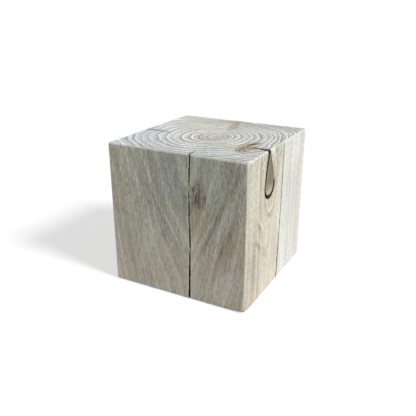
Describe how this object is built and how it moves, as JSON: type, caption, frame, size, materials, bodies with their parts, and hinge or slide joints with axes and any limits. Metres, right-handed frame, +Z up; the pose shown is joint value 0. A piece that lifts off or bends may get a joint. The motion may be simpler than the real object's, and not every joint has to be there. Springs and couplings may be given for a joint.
{
  "type": "wooden cube",
  "caption": "Solid timber cube with upright grain, eased edges, open drying checks and a bark pocket round an encased branch; stands as a small plinth, riser or display block.",
  "frame": {"origin": "middle of the base", "axes": "+Z up, along the grain; +X to the right along the front face, which carries the widest check; -Y out of the front face"},
  "size_m": [0.15, 0.15, 0.15],
  "materials": {
    "weathered_timber": "pale, sun-bleached bare timber, sanded, with grey-beige rings on the end grain and dark splits"
  },
  "bodies": {
    "root": {"wooden_cube": "weathered_timber"}
  },
  "joints": []
}
